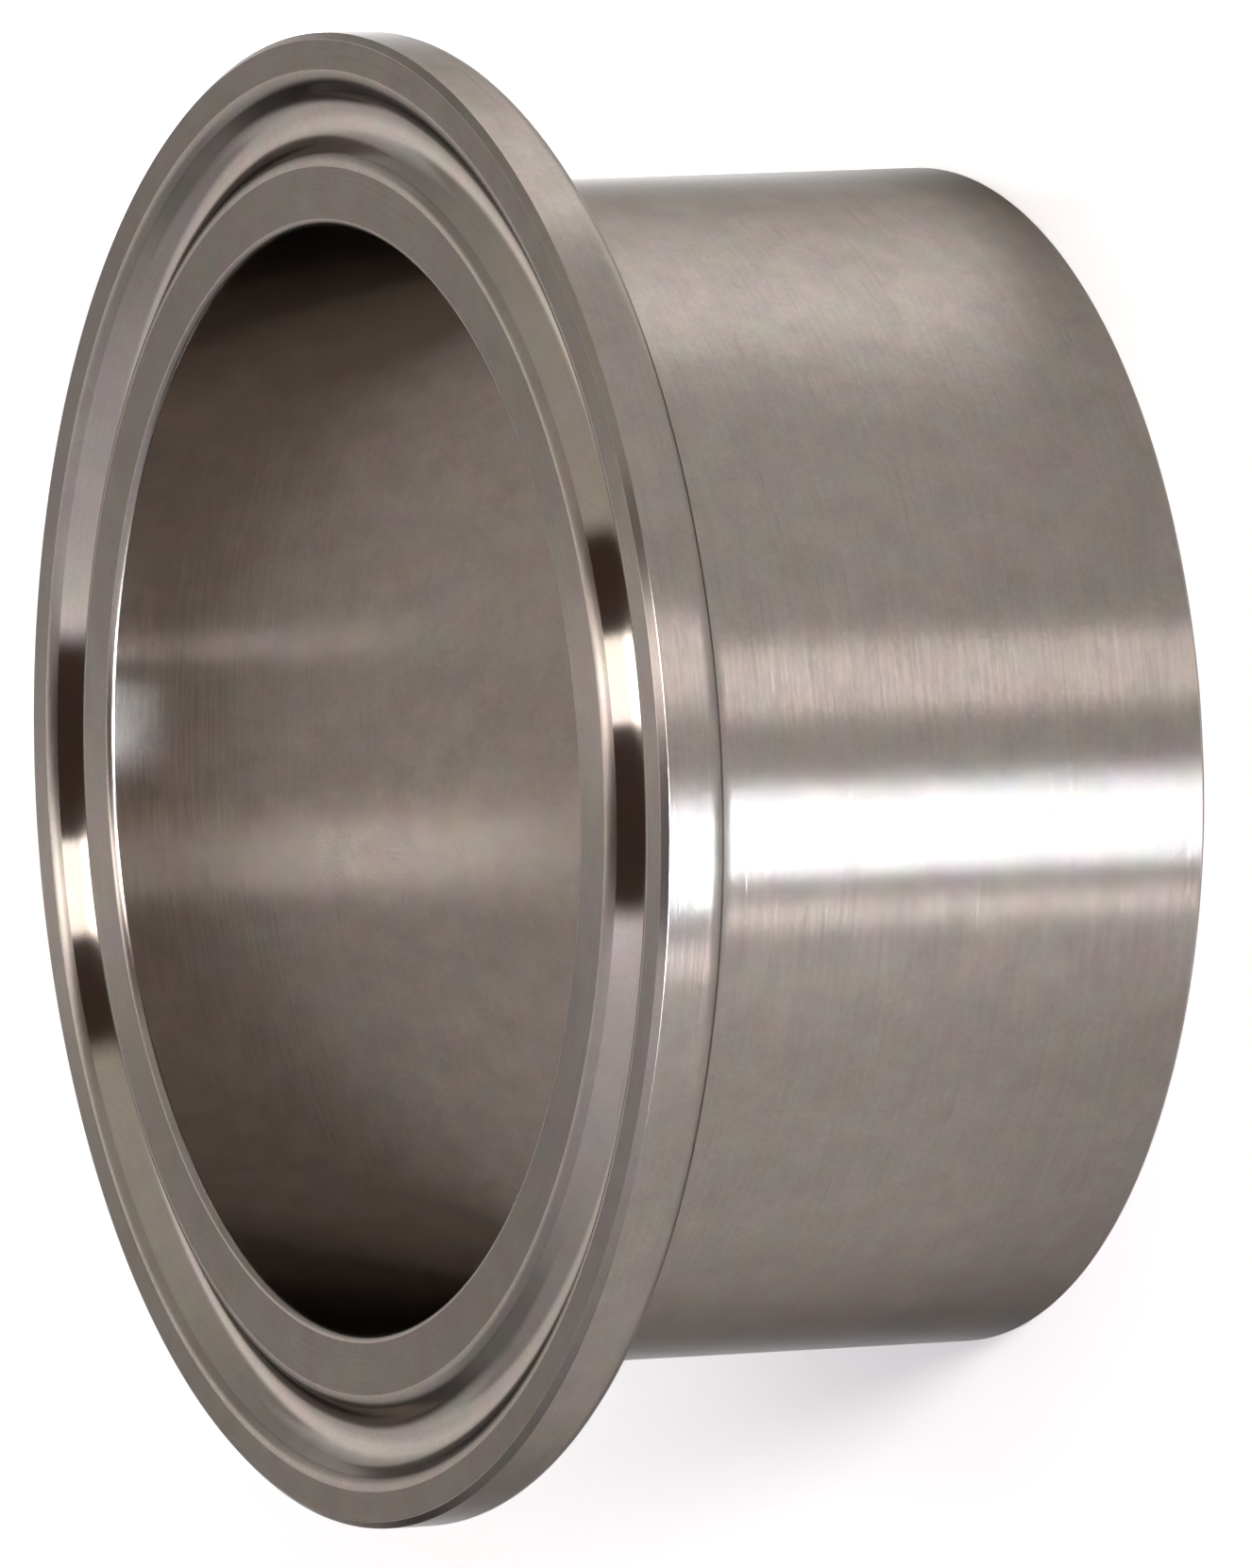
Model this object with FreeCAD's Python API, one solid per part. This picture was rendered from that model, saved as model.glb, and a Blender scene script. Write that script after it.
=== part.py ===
import FreeCAD, Part
import math
import os

# Long weld ferrule for a hygienic clamp joint on two-inch tube.
# It is turned in one piece: a plain tube stub to weld on, and a flange whose
# flat face has a ring groove for the gasket's bead and whose back tapers for the clamp.
# It stands on its weld end. The axis is Z, Z = 0 is the weld end and the
# sealing face is at the top. All sizes are in millimetres.

# Tube stub
tube_outer_diameter = 50.8
tube_wall = 1.65
overall_length = 28.6
weld_edge_break = 0.15

# Flange
rim_diameter = 64.0
rim_thickness = 2.85
back_taper_degrees = 20.0
root_fillet_radius = 1.6
rim_front_break = 0.35
rim_back_break = 0.5
bore_mouth_break = 0.2

# Gasket groove in the sealing face, a vee with a round bottom
groove_centre_diameter = 56.7
groove_width = 3.4
groove_wall_degrees = 50.0
groove_bottom_radius = 1.45
groove_edge_break = 0.25

# Radii and heights that follow from the sizes
tube_outer_radius = tube_outer_diameter / 2
bore_radius = tube_outer_radius - tube_wall
rim_radius = rim_diameter / 2
groove_centre_radius = groove_centre_diameter / 2
groove_half_width = groove_width / 2
vee_depth = groove_half_width * math.tan(math.radians(groove_wall_degrees))
taper_drop = (rim_radius - tube_outer_radius) * math.tan(math.radians(back_taper_degrees))

face_height = overall_length
rim_back_height = face_height - rim_thickness
taper_root_height = rim_back_height - taper_drop


def point(radius, height):
    """Point of the section, in the plane Y = 0."""
    return FreeCAD.Vector(radius, 0, height)


def broken(before, corner, after, size):
    """Straight cut across a corner, with the same length taken off both sides."""
    start = corner + (before - corner).normalize() * size
    end = corner + (after - corner).normalize() * size
    return Part.LineSegment(start, end)


def rounded(before, corner, after, radius):
    """Arc that is tangent to both sides of a corner."""
    towards_before = (before - corner).normalize()
    towards_after = (after - corner).normalize()
    half_angle = towards_before.getAngle(towards_after) / 2
    setback = radius / math.tan(half_angle)
    bisector = (towards_before + towards_after).normalize()
    middle = corner + bisector * (radius / math.sin(half_angle) - radius)
    return Part.Arc(corner + towards_before * setback, middle, corner + towards_after * setback)


def ferrule_corners():
    """Sharp corners of the section, each with its treatment and that treatment's size."""
    return [
        (point(bore_radius, 0), broken, weld_edge_break),
        (point(bore_radius, face_height), broken, bore_mouth_break),
        (point(groove_centre_radius - groove_half_width, face_height), broken, groove_edge_break),
        (point(groove_centre_radius, face_height - vee_depth), rounded, groove_bottom_radius),
        (point(groove_centre_radius + groove_half_width, face_height), broken, groove_edge_break),
        (point(rim_radius, face_height), broken, rim_front_break),
        (point(rim_radius, rim_back_height), broken, rim_back_break),
        (point(tube_outer_radius, taper_root_height), rounded, root_fillet_radius),
        (point(tube_outer_radius, 0), broken, weld_edge_break),
    ]


def section(corners):
    """Closed face of the corners, joined by straight lines between their treatments."""
    treated = []
    for index, (corner, treatment, size) in enumerate(corners):
        before = corners[index - 1][0]
        after = corners[(index + 1) % len(corners)][0]
        treated.append(treatment(before, corner, after, size))
    edges = []
    for index, curve in enumerate(treated):
        edges.append(Part.LineSegment(treated[index - 1].EndPoint, curve.StartPoint).toShape())
        edges.append(curve.toShape())
    return Part.Face(Part.Wire(edges))


def ferrule():
    """The section turned once round the Z axis."""
    axis_point = FreeCAD.Vector(0, 0, 0)
    axis_direction = FreeCAD.Vector(0, 0, 1)
    return section(ferrule_corners()).revolve(axis_point, axis_direction, 360)


os.makedirs("parts", exist_ok=True)
body = ferrule()
body.exportStep("parts/ferrule.step")
print("ferrule volume, cubic millimetres:", round(body.Volume, 1), "closed:", body.isValid())
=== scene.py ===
"""Looks of a long weld ferrule: one turned steel piece on a pale floor in a soft studio.

The ferrule is a surface of revolution worked out from its section, with a finish for
each stretch that the lathe left. The studio is a pale floor and a sky of soft panels.
"""

import math
from typing import NamedTuple

import bpy
import numpy as np
from bpy.props import FloatProperty, FloatVectorProperty, IntProperty, PointerProperty
from mathutils import Matrix, Vector


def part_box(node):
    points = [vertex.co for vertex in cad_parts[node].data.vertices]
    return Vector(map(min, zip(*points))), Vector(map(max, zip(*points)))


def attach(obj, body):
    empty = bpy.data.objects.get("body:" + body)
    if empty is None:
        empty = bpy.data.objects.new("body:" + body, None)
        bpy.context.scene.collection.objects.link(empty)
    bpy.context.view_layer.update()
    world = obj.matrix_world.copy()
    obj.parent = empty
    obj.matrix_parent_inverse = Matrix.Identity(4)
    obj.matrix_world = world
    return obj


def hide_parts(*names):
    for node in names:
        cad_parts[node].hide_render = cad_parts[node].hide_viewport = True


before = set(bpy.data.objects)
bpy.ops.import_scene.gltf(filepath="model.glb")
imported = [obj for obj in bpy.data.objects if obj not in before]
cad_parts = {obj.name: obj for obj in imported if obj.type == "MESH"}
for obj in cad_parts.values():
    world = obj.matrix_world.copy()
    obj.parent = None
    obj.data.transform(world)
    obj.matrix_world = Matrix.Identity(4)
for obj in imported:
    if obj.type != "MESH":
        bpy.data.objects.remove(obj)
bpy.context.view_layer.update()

bl_info = {
    "name": "Long weld ferrule",
    "version": (1, 0, 0),
    "blender": (4, 5, 0),
    "location": "View3D > Sidebar > Ferrule",
    "description": "Builds a turned hygienic weld ferrule and a soft studio round it",
    "category": "Add Mesh",
}

NODE = "ferrule"
BODY = "root"

# The frame gives the outside size, and the other sizes belong to the section.
FRAME_LOW, FRAME_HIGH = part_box(NODE)
RIM_RADIUS = FRAME_HIGH.x
LENGTH = FRAME_HIGH.z - FRAME_LOW.z


# Shader graph

DEGREES = 180 / math.pi


class Value:
    """A shader socket that takes part in Python arithmetic."""

    def __init__(self, graph, socket):
        self.graph = graph
        self.socket = socket

    def _with(self, operation, first, second):
        return self.graph.node("ShaderNodeMath", {"operation": operation}, {0: first, 1: second})

    def __add__(self, other):
        return self._with("ADD", self, other)

    def __radd__(self, other):
        return self._with("ADD", other, self)

    def __sub__(self, other):
        return self._with("SUBTRACT", self, other)

    def __rsub__(self, other):
        return self._with("SUBTRACT", other, self)

    def __mul__(self, other):
        return self._with("MULTIPLY", self, other)

    def __rmul__(self, other):
        return self._with("MULTIPLY", other, self)

    def __truediv__(self, other):
        return self._with("DIVIDE", self, other)

    def __rtruediv__(self, other):
        return self._with("DIVIDE", other, self)


class Graph:
    """The node tree of one material or world, filled from Python expressions."""

    def __init__(self, tree):
        self.tree = tree
        tree.nodes.clear()

    def node(self, kind, settings=None, inputs=None, output=0):
        """Adds a node, sets its settings, then its sockets, and gives one output."""
        made = self.tree.nodes.new(kind)
        for name, value in (settings or {}).items():
            if name == "stops":
                self._set_stops(made.color_ramp, value)
            else:
                setattr(made, name, value)
        for key, value in (inputs or {}).items():
            self._feed(made.inputs[key], value)
        return Value(self, made.outputs[output]) if made.outputs else None

    def _feed(self, socket, value):
        if isinstance(value, Value):
            self.tree.links.new(value.socket, socket)
        else:
            socket.default_value = value

    @staticmethod
    def _set_stops(ramp, stops):
        while len(ramp.elements) < len(stops):
            ramp.elements.new(1.0)
        for element, (position, colour) in zip(ramp.elements, stops):
            element.position = position
            element.color = (*colour, 1.0)

    def soft_step(self, value, start, end):
        """0 before start and 1 after end, with a smooth rise between them."""
        return self.node(
            "ShaderNodeMapRange",
            {"interpolation_type": "SMOOTHSTEP"},
            {0: value, 1: start, 2: end, 3: 0.0, 4: 1.0},
        )

    def window(self, value, start, end, soft_start, soft_end):
        """1 between start and end, fading to 0 over its own soft width at each side."""
        rise = self.soft_step(value, start - soft_start / 2, start + soft_start / 2)
        fall = self.soft_step(value, end - soft_end / 2, end + soft_end / 2)
        return rise * (1 - fall)

    def angle(self, x, y):
        """Angle of the direction (x, y) in degrees, from +X towards +Y."""
        return self.node("ShaderNodeMath", {"operation": "ARCTAN2"}, {0: y, 1: x}) * DEGREES

    def mix(self, factor, first, second):
        """Colour mix of two colours or links by a factor."""
        inputs = {0: factor, 6: first, 7: second}
        return self.node("ShaderNodeMix", {"data_type": "RGBA"}, inputs, output=2)

    def vector(self, x, y, z):
        return self.node("ShaderNodeCombineXYZ", {}, {0: x, 1: y, 2: z})

    def split(self, vector):
        """The three parts of a vector."""
        made = self.node("ShaderNodeSeparateXYZ", {}, {0: vector})
        return [Value(self, output) for output in made.socket.node.outputs]

    def parts(self, colour):
        """The red, green and blue of a colour."""
        made = self.node("ShaderNodeSeparateColor", {}, {0: colour})
        return [Value(self, output) for output in made.socket.node.outputs]

    def noise(self, vector, detail=2.0, roughness=0.5, output="Fac"):
        """Noise about 0.5 over a vector, one number or three as a colour."""
        inputs = {"Vector": vector, "Scale": 1.0, "Detail": detail, "Roughness": roughness}
        return self.node("ShaderNodeTexNoise", {"noise_dimensions": "3D"}, inputs, output=output)


# Sizes, colours and light that a user would change

class FerruleSizes(bpy.types.PropertyGroup):
    """Sizes of the turned section."""

    tube_radius: FloatProperty(
        name="Tube radius", description="Outside radius of the tube stub",
        default=0.0254, unit="LENGTH")
    wall: FloatProperty(
        name="Wall", description="Wall of the tube stub", default=0.00165, unit="LENGTH")
    weld_edge: FloatProperty(
        name="Weld edge", description="Radius at both edges of the weld end",
        default=0.00012, unit="LENGTH")
    mouth_edge: FloatProperty(
        name="Mouth edge", description="Radius at the mouth of the bore",
        default=0.00030, unit="LENGTH")
    rim_thickness: FloatProperty(
        name="Rim thickness", description="Height of the rim before the back tapers",
        default=0.00285, unit="LENGTH")
    rim_front: FloatProperty(
        name="Rim front", description="Bevel at the front of the rim",
        default=0.00028, unit="LENGTH")
    bevel_edge: FloatProperty(
        name="Bevel edge", description="Radius at both edges of the bevel",
        default=0.00006, unit="LENGTH")
    rim_back: FloatProperty(
        name="Rim back", description="Radius at the back of the rim",
        default=0.00080, unit="LENGTH")
    back_taper: FloatProperty(
        name="Back taper", description="Slope of the flange's back from level",
        default=math.radians(20), subtype="ANGLE")
    root_fillet: FloatProperty(
        name="Root fillet", description="Radius where the flange's back meets the stub",
        default=0.0016, unit="LENGTH")
    groove_radius: FloatProperty(
        name="Groove radius", description="Radius of the groove's middle line",
        default=0.02835, unit="LENGTH")
    groove_width: FloatProperty(
        name="Groove width", description="Width between the groove's sharp edges",
        default=0.0034, unit="LENGTH")
    groove_wall: FloatProperty(
        name="Groove wall", description="Slope of the groove's walls from level",
        default=math.radians(50), subtype="ANGLE")
    groove_bottom: FloatProperty(
        name="Groove bottom", description="Radius of the groove's round bottom",
        default=0.00145, unit="LENGTH")
    groove_lip: FloatProperty(
        name="Groove lip", description="Radius at the groove's edges",
        default=0.00080, unit="LENGTH")
    sides: IntProperty(
        name="Sides", description="Faces once round the axis", default=720, min=64, max=1024)


class SteelFinish(bpy.types.PropertyGroup):
    """Colour of the steel and how each cut shines."""

    steel: FloatVectorProperty(
        name="Steel", description="Colour of the turned steel", subtype="COLOR",
        default=(0.30, 0.268, 0.243), min=0.0, max=1.0)
    edge_tint: FloatVectorProperty(
        name="Edge tint", description="Part of the shine that is left at a glancing view",
        subtype="COLOR", default=(0.36, 0.36, 0.36), min=0.0, max=1.0)
    turned_roughness: FloatProperty(
        name="Turned roughness", description="Roughness of the stub and the rim", default=0.175)
    faced_roughness: FloatProperty(
        name="Faced roughness", description="Roughness of the sealing face", default=0.36)
    groove_roughness: FloatProperty(
        name="Groove roughness", description="Roughness of the gasket groove", default=0.12)
    bore_roughness: FloatProperty(
        name="Bore roughness", description="Roughness of the bore", default=0.23)
    lip_roughness: FloatProperty(
        name="Lip roughness", description="Roughness of the rounded edges of the face", default=0.24)


class StudioLook(bpy.types.PropertyGroup):
    """Floor, sky panels and camera."""

    floor: FloatVectorProperty(
        name="Floor", description="Colour of the floor", subtype="COLOR",
        default=(0.78, 0.78, 0.78), min=0.0, max=1.0)
    floor_glow: FloatProperty(
        name="Floor glow", description="Part of the floor's white that keeps it pale", default=0.08)
    # Painted pool of light: extra glow on the floor at the right of the ferrule, which the steel mirrors
    painted_light_pool: FloatProperty(
        name="Painted light pool", description="The same, added at the right of the ferrule", default=1.40)
    middle: FloatVectorProperty(
        name="Middle", description="Light of the soft round glow that the level face mirrors",
        subtype="COLOR", default=(1.95, 1.90, 1.90), min=0.0, soft_max=4.0)
    middle_left: FloatVectorProperty(
        name="Middle left", description="Light of that glow at its left", subtype="COLOR",
        default=(1.35, 1.31, 1.32), min=0.0, soft_max=4.0)
    left_wall: FloatVectorProperty(
        name="Left wall", description="Light of the dim wall low at the left", subtype="COLOR",
        default=(0.12, 0.11, 0.11), min=0.0, soft_max=4.0)
    overhead: FloatVectorProperty(
        name="Overhead panel", description="Light of the long panel overhead", subtype="COLOR",
        default=(9.6, 9.1, 8.8), min=0.0, soft_max=20.0)
    overhead_low: FloatVectorProperty(
        name="Overhead panel, low", description="Light of the long panel where it comes down",
        subtype="COLOR", default=(46.0, 43.0, 43.0), min=0.0, soft_max=80.0)
    front: FloatVectorProperty(
        name="Front panel", description="Light of the low panel in front", subtype="COLOR",
        default=(560.0, 630.0, 710.0), min=0.0, soft_max=900.0)
    front_dim: FloatVectorProperty(
        name="Front panel, dim", description="Light of the dim panel beside the front one",
        subtype="COLOR", default=(40.0, 39.0, 42.0), min=0.0, soft_max=100.0)
    thin: FloatVectorProperty(
        name="Thin panel", description="Light of the thin panel beside the front one",
        subtype="COLOR", default=(105.0, 100.0, 105.0), min=0.0, soft_max=400.0)
    lens: FloatProperty(
        name="Lens", description="Focal length for a 36 mm sensor, in millimetres", default=531.4)
    distance: FloatProperty(
        name="Distance", description="Camera to the middle of the ferrule",
        default=0.9954, unit="LENGTH")
    elevation: FloatProperty(
        name="Elevation", description="Height of the camera above level",
        default=math.radians(25.555), subtype="ANGLE")
    roll: FloatProperty(
        name="Roll", description="Turn of the camera about its own axis",
        default=math.radians(-92.571), subtype="ANGLE")
    aim_right: FloatProperty(
        name="Aim right", description="Aim point to the right of the ferrule's middle, before the roll",
        default=-0.00067, unit="LENGTH")
    aim_up: FloatProperty(
        name="Aim up", description="Aim point above the ferrule's middle, square to the view",
        default=0.00062, unit="LENGTH")


# Section of the ferrule

def line(start, end, steps):
    """Points evenly spaced from start to end, with the normal at the right of the way."""
    share = np.linspace(0.0, 1.0, steps + 1)[:, None]
    points = np.array(start) * (1 - share) + np.array(end) * share
    way = np.array(end) - np.array(start)
    normal = np.array((way[1], -way[0])) / np.linalg.norm(way)
    return points, np.tile(normal, (steps + 1, 1))


def corner_arc(before, corner, after, radius, steps):
    """Arc tangent to both sides of a corner: centre plus radius times a turning normal."""
    before, corner, after = (np.array(p) for p in (before, corner, after))
    way_in = (corner - before) / np.linalg.norm(corner - before)
    way_out = (after - corner) / np.linalg.norm(after - corner)
    turn = math.atan2(way_in[0] * way_out[1] - way_in[1] * way_out[0], way_in @ way_out)
    setback = radius * math.tan(abs(turn) / 2)
    right = np.array((way_in[1], -way_in[0]))
    side = math.copysign(1.0, turn)
    centre = corner - way_in * setback - right * radius * side
    angle = np.linspace(0.0, turn, steps + 1)
    cosine, sine = np.cos(angle), np.sin(angle)
    normals = np.stack((right[0] * cosine - right[1] * sine,
                        right[0] * sine + right[1] * cosine), axis=1)
    return centre + normals * radius * side, normals


def ferrule_section(sizes):
    """Points, outward normals and finish of the closed section, once round.

    The way runs up the bore, out over the face, down the back and the stub, and in along
    the weld end, so that the outside is on its left. Finish numbers are per span.
    """
    bore = sizes.tube_radius - sizes.wall
    rim_low = LENGTH - sizes.rim_thickness
    root = rim_low - (RIM_RADIUS - sizes.tube_radius) * math.tan(sizes.back_taper)
    half = sizes.groove_width / 2
    vee = LENGTH - half * math.tan(sizes.groove_wall)
    turned, faced, groove, bored, lip, cut = range(6)
    # Each row: corner, radius, steps of its arc, steps and finish of the line after it,
    # and the finish of its arc.
    rows = [
        ((bore, 0.0), sizes.weld_edge, 4, 10, bored, cut),
        ((bore, LENGTH), sizes.mouth_edge, 10, 4, faced, lip),
        ((sizes.groove_radius - half, LENGTH), sizes.groove_lip, 8, 2, groove, lip),
        ((sizes.groove_radius, vee), sizes.groove_bottom, 24, 2, groove, groove),
        ((sizes.groove_radius + half, LENGTH), sizes.groove_lip, 8, 3, faced, lip),
        ((RIM_RADIUS - sizes.rim_front, LENGTH), sizes.bevel_edge, 3, 2, lip, lip),
        ((RIM_RADIUS, LENGTH - sizes.rim_front), sizes.bevel_edge, 3, 4, turned, lip),
        ((RIM_RADIUS, rim_low), sizes.rim_back, 6, 6, turned, turned),
        ((sizes.tube_radius, root), sizes.root_fillet, 10, 10, turned, turned),
        ((sizes.tube_radius, 0.0), sizes.weld_edge, 4, 2, cut, cut),
    ]
    arcs = []
    for index, (corner, radius, arc_steps, *_) in enumerate(rows):
        before, after = rows[index - 1][0], rows[(index + 1) % len(rows)][0]
        arcs.append(corner_arc(before, corner, after, radius, arc_steps))
    points, normals, finishes = [], [], []
    for index, row in enumerate(rows):
        arc_points, arc_normals = arcs[index]
        next_points = arcs[(index + 1) % len(rows)][0]
        line_points, line_normals = line(arc_points[-1], next_points[0], row[3])
        points += [arc_points[:-1], line_points[:-1]]
        normals += [arc_normals[:-1], line_normals[:-1]]
        finishes += [row[5]] * row[2] + [row[4]] * row[3]
    return np.concatenate(points), -np.concatenate(normals), np.array(finishes)


def turned_mesh(name, points, normals, finishes, sides):
    """Surface of revolution: (radius cos a, radius sin a, height) over the section and the angle."""
    angle = np.linspace(0.0, 2 * math.pi, sides, endpoint=False)
    cosine, sine = np.cos(angle), np.sin(angle)

    def swept(pairs):
        flat = np.ones_like(cosine)
        return np.stack((np.outer(pairs[:, 0], cosine), np.outer(pairs[:, 0], sine),
                         np.outer(pairs[:, 1], flat)), axis=2).reshape(-1, 3)

    rings = len(points)
    ring, side = np.meshgrid(np.arange(rings), np.arange(sides), indexing="ij")
    next_ring, next_side = (ring + 1) % rings, (side + 1) % sides
    quads = np.stack((ring * sides + side, next_ring * sides + side,
                      next_ring * sides + next_side, ring * sides + next_side), axis=2).reshape(-1, 4)
    mesh = bpy.data.meshes.new(name)
    mesh.vertices.add(rings * sides)
    mesh.vertices.foreach_set("co", swept(points).astype(np.float32).ravel())
    mesh.loops.add(quads.size)
    mesh.loops.foreach_set("vertex_index", quads.astype(np.int32).ravel())
    mesh.polygons.add(len(quads))
    mesh.polygons.foreach_set("loop_start", np.arange(0, quads.size, 4, dtype=np.int32))
    mesh.polygons.foreach_set("loop_total", np.full(len(quads), 4, dtype=np.int32))
    mesh.polygons.foreach_set("material_index", np.repeat(finishes, sides).astype(np.int32))
    mesh.polygons.foreach_set("use_smooth", np.ones(len(quads), dtype=bool))
    mesh.update(calc_edges=True)
    mesh.validate()
    mesh.normals_split_custom_set_from_vertices(swept(normals).astype(np.float32))
    return mesh


# Finishes

# Marks in the steel, as waves once round the axis and waves per metre along the section
RINGS = (1.2, 5000)
STREAKS = (9, 6000)
SCRATCHES = (6, 8000)
# The same in every direction, in waves per metre
GRAIN = 5200
CLOUD = 600
# Shifts that keep two noises of one pitch apart
SCRATCH_SHIFT = 7
CAST_SHIFT = 3
# The noise between these two is the side of a scratch, and its depth is a share of the ring height
SCRATCH_SIDE = (0.66, 0.76)
SCRATCH_DEPTH = 0.3
# How far the streaks change the roughness, and the cast the colour
STREAK_SWING = 0.04
CAST_SWING = 0.16
# Below the sealing face, the length in metres over which a cut's roughness changes to the mouth's
MOUTH_REACH = 0.020
# Turn of the long way of the shine, so that it lies across the tool rings
QUARTER_TURN = 0.25


class Cut(NamedTuple):
    """How one cut left the steel, with its shine and the strength of its marks.

    The roughness at the mouth is added to the cut's own towards the sealing face, the
    line height is in metres, and the last four are shares of the colour. The first number
    scales the one steel for this cut, partly its own colour and partly painted light and
    shade; in the dim bore it is painted light.
    """

    name: str
    tone: float
    roughness: float
    at_mouth: float
    anisotropy: float
    line_height: float
    lines: float
    grain: float
    cloud: float
    scratches: float


def steel(finish, cut):
    """Steel cut on a lathe, with fine rings left by the tool.

    The rings follow height plus radius, which changes along every stretch of the section,
    and hardly change round the axis. The streaks are short arcs along them, and a few
    deeper ones are scratches. The cloud is the uneven bloom of polished steel, with a faint
    cast of its own, and the grain is its finest speckle.
    """
    material = bpy.data.materials.new(cut.name)
    material.use_nodes = True
    graph = Graph(material.node_tree)
    place = graph.node("ShaderNodeTexCoord", {}, {}, output="Object")
    x, y, z = graph.split(place)
    radius = graph.node("ShaderNodeMath", {"operation": "SQRT"}, {0: x * x + y * y})
    along = radius + z
    around_x, around_y = x / radius, y / radius

    def arcs(waves, shift):
        """Place on the steel for marks that are long round the axis."""
        around, across = waves
        return graph.vector(around_x * around, around_y * around, along * across + shift)

    def specks(waves, shift):
        """Place on the steel for marks that are alike in every direction."""
        return graph.vector(x * waves, y * waves, z * waves + shift)

    rings = graph.noise(arcs(RINGS, 0), 2.0, 0.7)
    streaks = graph.noise(arcs(STREAKS, 0), 2.0, 0.6)
    marks = graph.noise(arcs(SCRATCHES, SCRATCH_SHIFT), 1.0, 0.5)
    grain = graph.noise(specks(GRAIN, 0), 1.0, 0.6)
    cloud = graph.noise(specks(CLOUD, 0), 3.0, 0.62)
    cast = graph.noise(specks(CLOUD, CAST_SHIFT), 1.0, 0.5, output="Color")
    scratch = graph.soft_step(marks, *SCRATCH_SIDE)
    bump = graph.node("ShaderNodeBump", {}, {
        "Strength": 1.0, "Distance": cut.line_height, "Height": rings - scratch * SCRATCH_DEPTH})
    shade = 1 + (rings + streaks - 1) * cut.lines
    shade = shade + (grain - 0.5) * cut.grain + (cloud - 0.5) * cut.cloud
    # Painted light and shade: the same steel is made brighter or darker per cut, most of all brighter in
    # the dim bore
    shade = shade * (1 - scratch * cut.scratches) * cut.tone
    mouth = graph.soft_step(z, LENGTH - MOUTH_REACH, LENGTH)
    casts = graph.parts(cast)
    tint = graph.node("ShaderNodeCombineColor", {}, {
        index: shade * (1 + (casts[index] - 0.5) * CAST_SWING) * finish.steel[index]
        for index in range(3)})
    surface = graph.node("ShaderNodeBsdfPrincipled", {}, {
        "Base Color": tint,
        "Metallic": 1.0,
        "Roughness": (streaks - 0.5) * STREAK_SWING + cut.roughness + mouth * cut.at_mouth,
        "Specular Tint": (*finish.edge_tint, 1.0),
        "Anisotropic": cut.anisotropy,
        "Anisotropic Rotation": QUARTER_TURN,
        "Normal": bump,
    })
    graph.node("ShaderNodeOutputMaterial", {}, {"Surface": surface})
    return material


class FERRULE_OT_turned_body(bpy.types.Operator):
    """Adds the turned ferrule with its finishes"""

    bl_idname = "ferrule.turned_body"
    bl_label = "Turned ferrule"

    def execute(self, context):
        sizes = context.scene.ferrule_sizes
        finish = context.scene.ferrule_finish
        points, normals, finishes = ferrule_section(sizes)
        mesh = turned_mesh("turned_ferrule", points, normals, finishes, sizes.sides)
        piece = bpy.data.objects.new("turned_ferrule", mesh)
        context.scene.collection.objects.link(piece)
        # The number after each name scales the one steel: the bore's is painted light in the dim bore,
        # and the others are partly each cut's own colour and partly painted light and shade
        for cut in (
            Cut("steel_turned", 0.67, finish.turned_roughness, 0.0, 1.0, 8e-6, 0.14, 0.22, 0.34, 0.10),
            Cut("steel_faced", 0.52, finish.faced_roughness, 0.0, 0.8, 12e-6, 0.08, 0.22, 0.24, 0.05),
            Cut("steel_groove", 1.00, finish.groove_roughness, 0.0, 1.0, 1e-6, 0.08, 0.12, 0.14, 0.08),
            Cut("steel_bored", 1.38, finish.bore_roughness, -0.125, 1.0, 1.5e-6, 0.03, 0.22, 0.40, 0.02),
            Cut("steel_lip", 0.78, finish.lip_roughness, 0.0, 0.5, 3e-6, 0.06, 0.18, 0.20, 0.05),
            Cut("steel_cut", 0.80, finish.faced_roughness, 0.0, 0.3, 6e-6, 0.06, 0.15, 0.20, 0.05),
        ):
            mesh.materials.append(steel(finish, cut))
        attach(piece, BODY)
        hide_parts(NODE)
        return {"FINISHED"}


# Studio

FLOOR_RADIUS = 6.0
# Painted pool of light: the patch of floor at the right of the ferrule that glows more, for the camera
# and in reflections, begins between these places
PAINTED_POOL_X = (0.023, 0.032)
PAINTED_POOL_Y = (-0.032, -0.012)

# Light of the ceiling by bearing in degrees
CEILING = (
    (0, (0.50, 0.50, 0.50)),
    (20, (0.50, 0.49, 0.47)),
    (45, (0.75, 0.73, 0.66)),
    (67, (0.85, 0.82, 0.73)),
    (69, (0.10, 0.065, 0.055)),
    (102.3, (0.10, 0.065, 0.055)),
    (104.3, (1.60, 1.55, 1.65)),
    (112, (1.15, 1.10, 1.15)),
    (122, (0.95, 0.92, 0.97)),
    (138, (0.66, 0.64, 0.66)),
    (150, (0.60, 0.58, 0.60)),
    (180, (0.45, 0.44, 0.45)),
)
# Light of the walls behind the ferrule by the direction's part along +X
WALLS = (
    (-1.0, (0.20, 0.20, 0.20)),
    (-0.74, (0.42, 0.42, 0.42)),
    (-0.35, (1.20, 1.20, 1.24)),
    (0.3, (1.50, 1.50, 1.54)),
    (0.74, (0.50, 0.50, 0.48)),
    (1.0, (0.80, 0.78, 0.74)),
)
# The walls end between these heights, and begin between these parts along +Y
WALL_TOP = (0.42, 0.52)
WALL_FRONT = (-0.40, 0.0)
# The low panels in front fade out between these parts along +Y
FRONT_EDGE = (-0.45, -0.15)
# The round glow ends at the first of these angles from its middle and is full inside the second
GLOW_EDGE = (math.radians(26), math.radians(15))
# Its left colour gives way to its other one between these parts along +X
GLOW_SIDES = (-0.20, 0.15)
# The ceiling covers the glow between these bearings, over these soft widths
COVERED = (68.0, 103.3, 2.0, 2.0)
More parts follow.
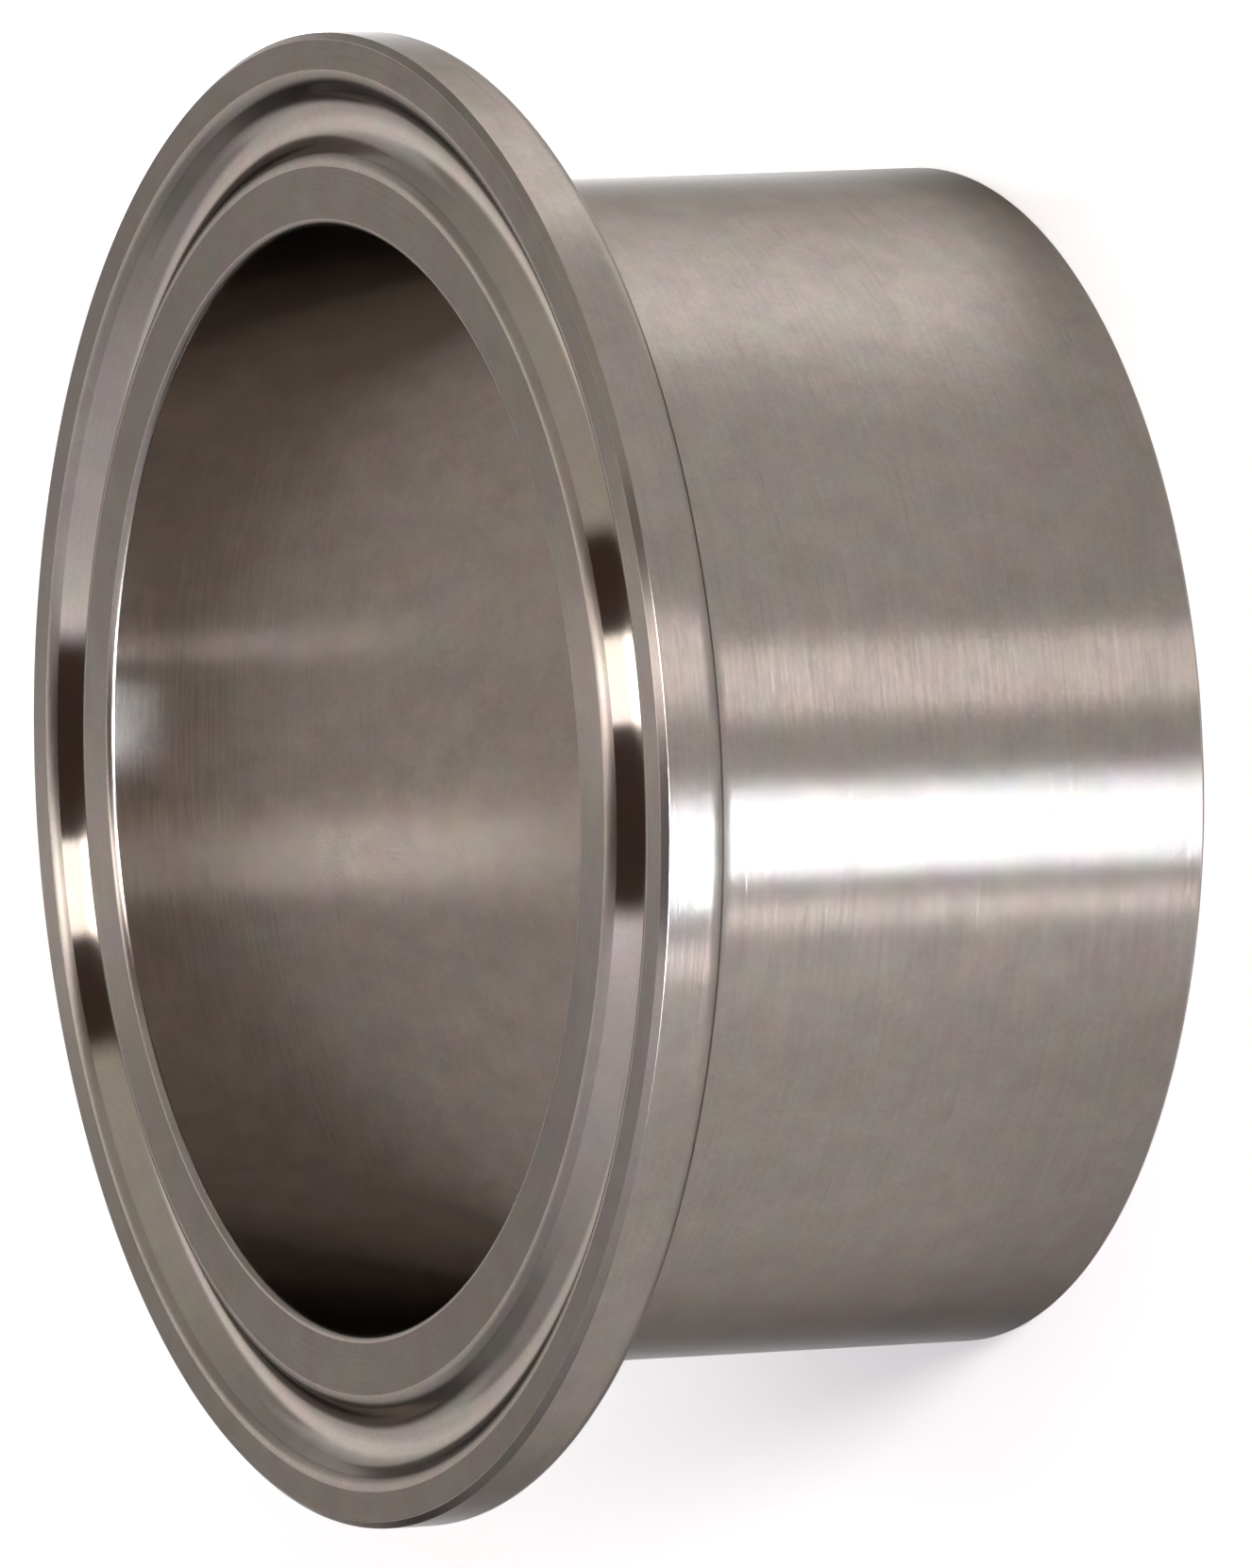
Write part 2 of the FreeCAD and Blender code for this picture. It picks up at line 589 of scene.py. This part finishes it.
# The dim wall stands between these angles round the axis, over these soft widths, and ends
# between these heights
LEFT_WALL = (105.0, 185.0, 6.0, 6.0)
LEFT_WALL_TOP = (0.16, 0.32)
# The panel overhead has this part of its light in front, and all of it behind these parts along +Y
OVERHEAD_IN_FRONT = 0.4
OVERHEAD_RISE = (-0.3, 0.2)


def pale_floor(look):
    """Pale matt floor whose white is partly its own glow, so it keeps a soft shadow."""
    material = bpy.data.materials.new("floor_paper")
    material.use_nodes = True
    graph = Graph(material.node_tree)
    path = graph.node("ShaderNodeLightPath", {}, {}, output="Is Camera Ray")
    outputs = path.socket.node.outputs
    seen = path + Value(graph, outputs["Is Glossy Ray"]) + Value(graph, outputs["Is Transmission Ray"])
    seen = graph.node("ShaderNodeMath", {"operation": "MINIMUM"}, {0: seen, 1: 1.0})
    paper = graph.node("ShaderNodeBsdfDiffuse", {}, {"Color": (*look.floor, 1.0)})
    x, y, _ = graph.split(graph.node("ShaderNodeTexCoord", {}, {}, output="Object"))
    # Painted pool of light: the floor glows past white at the right of the ferrule, seen by the camera
    # and in reflections
    right = graph.soft_step(x, *PAINTED_POOL_X) * graph.soft_step(y, *PAINTED_POOL_Y)
    glow = graph.node("ShaderNodeEmission", {}, {
        "Strength": seen * (right * look.painted_light_pool + look.floor_glow)})
    both = graph.node("ShaderNodeAddShader", {}, {0: paper, 1: glow})
    graph.node("ShaderNodeOutputMaterial", {}, {"Surface": both})
    return material


class Panel(NamedTuple):
    """A soft panel on the sky, between two bearings in degrees and two heights.

    A height is the upward part of a unit direction, 0 at the horizon and 1 overhead.
    """

    start: float
    end: float
    soft_start: float
    soft_end: float
    low: float
    high: float
    soft_height: float
    colour: tuple


def studio_sky(look):
    """Soft panels on the sky, laid out as a fan that opens towards the camera.

    The bearing is the angle of a direction seen from the mirror point of the level
    sealing face, so a panel between two bearings lights the ferrule between the same two
    angles round its axis, counted from +X towards the camera.
    """
    world = bpy.data.worlds.new("studio_sky")
    world.use_nodes = True
    bpy.context.scene.world = world
    graph = Graph(world.node_tree)
    direction = graph.node("ShaderNodeTexCoord", {}, {}, output="Generated")
    x, y, z = graph.split(direction)
    bearing = graph.angle(x, math.cos(look.elevation) - y)
    ceiling = graph.node(
        "ShaderNodeValToRGB", {"stops": [(degrees / 180, colour) for degrees, colour in CEILING]},
        {0: bearing / 180})
    walls = graph.node(
        "ShaderNodeValToRGB", {"stops": [((across + 1) / 2, colour) for across, colour in WALLS]},
        {0: x * 0.5 + 0.5})
    low = (1 - graph.soft_step(z, *WALL_TOP)) * graph.soft_step(y, *WALL_FRONT)
    sky = graph.mix(low, ceiling, walls)
    nearness = y * math.cos(look.elevation) + z * math.sin(look.elevation)
    middle = graph.soft_step(nearness, *(math.cos(angle) for angle in GLOW_EDGE))
    covered = graph.window(bearing, *COVERED)
    glow = graph.mix(
        graph.soft_step(x, *GLOW_SIDES), (*look.middle_left, 1.0), (*look.middle, 1.0))
    sky = graph.mix(middle * (1 - covered), sky, glow)
    left = graph.window(graph.angle(x, y), *LEFT_WALL) * (1 - graph.soft_step(z, *LEFT_WALL_TOP))
    sky = graph.mix(left, sky, (*look.left_wall, 1.0))
    front_half = 1 - graph.soft_step(y, *FRONT_EDGE)
    overhead = OVERHEAD_IN_FRONT + graph.soft_step(y, *OVERHEAD_RISE) * (1 - OVERHEAD_IN_FRONT)
    for panel, place in (
        (Panel(78.1, 86.0, 1.2, 0.6, -1.0, 2.0, 0.1, look.overhead), overhead),
        (Panel(78.9, 85.6, 1.2, 0.6, -1.0, 0.45, 0.3, look.overhead_low), front_half),
        (Panel(93.0, 101.0, 3.6, 0.5, -1.0, 0.060, 0.05, look.front), front_half),
        (Panel(103.1, 115.0, 0.5, 12.0, -1.0, 0.060, 0.05, look.front_dim), front_half),
        (Panel(104.0, 105.8, 0.4, 0.6, -1.0, 0.30, 0.20, look.thin), front_half),
    ):
        around = graph.window(bearing, panel.start, panel.end, panel.soft_start, panel.soft_end)
        upright = graph.window(z, panel.low, panel.high, panel.soft_height, panel.soft_height)
        sky = graph.mix(around * upright * place, sky, (*panel.colour, 1.0))
    background = graph.node("ShaderNodeBackground", {}, {"Color": sky, "Strength": 1.0})
    graph.node("ShaderNodeOutputWorld", {}, {"Surface": background})
    return world


def floor_disc(radius, sides=96):
    """Flat disc, one face inside the outline (radius cos a, radius sin a, 0)."""
    angle = np.linspace(0.0, 2 * math.pi, sides, endpoint=False)
    outline = np.stack((radius * np.cos(angle), radius * np.sin(angle), np.zeros(sides)), axis=1)
    mesh = bpy.data.meshes.new("floor")
    mesh.from_pydata(outline.tolist(), [], [list(range(sides))])
    return mesh


def aim_camera(look):
    """Camera in front of the ferrule, rolled so that the face looks to the picture's left."""
    back = Vector((0.0, -math.cos(look.elevation), math.sin(look.elevation)))
    right = Vector((1.0, 0.0, 0.0))
    up = back.cross(right)
    target = Vector((0.0, 0.0, LENGTH / 2)) + right * look.aim_right + up * look.aim_up
    level = Matrix((right, up, back)).transposed()
    turned = level @ Matrix.Rotation(look.roll, 3, "Z")
    camera = bpy.data.objects.new("camera", bpy.data.cameras.new("camera"))
    camera.data.lens = look.lens
    camera.data.sensor_width = 36.0
    camera.data.clip_start = 0.05
    camera.data.clip_end = 20.0
    camera.matrix_world = Matrix.Translation(target + back * look.distance) @ turned.to_4x4()
    bpy.context.scene.collection.objects.link(camera)
    bpy.context.scene.camera = camera
    return camera


class FERRULE_OT_studio(bpy.types.Operator):
    """Adds the floor, the sky of soft panels and the camera"""

    bl_idname = "ferrule.studio"
    bl_label = "Studio"

    def execute(self, context):
        look = context.scene.ferrule_look
        floor = bpy.data.objects.new("floor", floor_disc(FLOOR_RADIUS))
        floor.data.materials.append(pale_floor(look))
        context.scene.collection.objects.link(floor)
        studio_sky(look)
        aim_camera(look)
        context.scene.view_settings.view_transform = "Standard"
        return {"FINISHED"}


class FERRULE_PT_panel(bpy.types.Panel):
    """Lists the pieces of the ferrule scene"""

    bl_idname = "FERRULE_PT_panel"
    bl_label = "Weld ferrule"
    bl_space_type = "VIEW_3D"
    bl_region_type = "UI"
    bl_category = "Ferrule"

    def draw(self, context):
        for operator in (FERRULE_OT_turned_body, FERRULE_OT_studio):
            self.layout.operator(operator.bl_idname)
        for group in (context.scene.ferrule_sizes, context.scene.ferrule_finish,
                      context.scene.ferrule_look):
            box = self.layout.box()
            for name in group.__annotations__:
                box.prop(group, name)


CLASSES = (FerruleSizes, SteelFinish, StudioLook, FERRULE_OT_turned_body, FERRULE_OT_studio,
           FERRULE_PT_panel)


def register():
    for each in CLASSES:
        bpy.utils.register_class(each)
    bpy.types.Scene.ferrule_sizes = PointerProperty(type=FerruleSizes)
    bpy.types.Scene.ferrule_finish = PointerProperty(type=SteelFinish)
    bpy.types.Scene.ferrule_look = PointerProperty(type=StudioLook)


def unregister():
    for name in ("ferrule_look", "ferrule_finish", "ferrule_sizes"):
        delattr(bpy.types.Scene, name)
    for each in reversed(CLASSES):
        bpy.utils.unregister_class(each)


def main():
    register()
    bpy.ops.ferrule.turned_body()
    bpy.ops.ferrule.studio()


if __name__ == "__main__":
    main()
